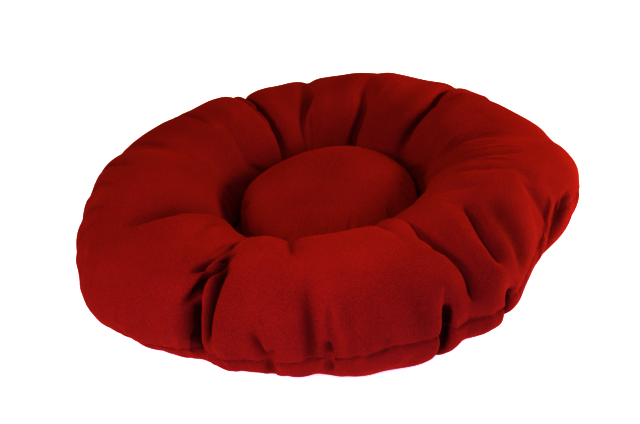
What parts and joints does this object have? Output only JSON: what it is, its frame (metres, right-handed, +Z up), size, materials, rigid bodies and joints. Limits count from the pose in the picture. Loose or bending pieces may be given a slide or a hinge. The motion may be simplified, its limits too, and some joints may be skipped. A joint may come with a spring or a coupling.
{
  "type": "round pet cushion bed",
  "caption": "Round red cotton pet bed: a puffy stuffed ring round a low well, with a loose stuffed pad that lifts out of it.",
  "frame": {"origin": "on the floor, under the middle of the bed", "axes": "+X along the slightly longer side, +Z up; the viewer of the picture stands on the -Y side"},
  "size_m": [0.6136, 0.5916, 0.126],
  "materials": {
    "red_cotton": "brushed cotton twill, matt",
    "red_thread": "sewing thread, matt",
    "white_fibre": "loose polyester fibre, matt"
  },
  "bodies": {
    "bolster": {"base_panel": "red_cotton", "well_floor_panel": "red_cotton", "ring_top_panel": "red_cotton", "ring_filling": "white_fibre", "outer_seam_thread": "red_thread", "ring_closing_thread": "red_thread", "inner_seam_thread": "red_thread", "gathering_thread": "red_thread"},
    "pad": {"pad_bottom_panel": "red_cotton", "pad_top_panel": "red_cotton", "pad_filling": "white_fibre", "pad_seam_thread": "red_thread", "pad_closing_thread": "red_thread"}
  },
  "joints": [
    {"name": "pad_lift", "type": "slide", "parent": "bolster", "child": "pad", "axis": [0, 0, 1], "range_m": [0, 0.2]}
  ]
}
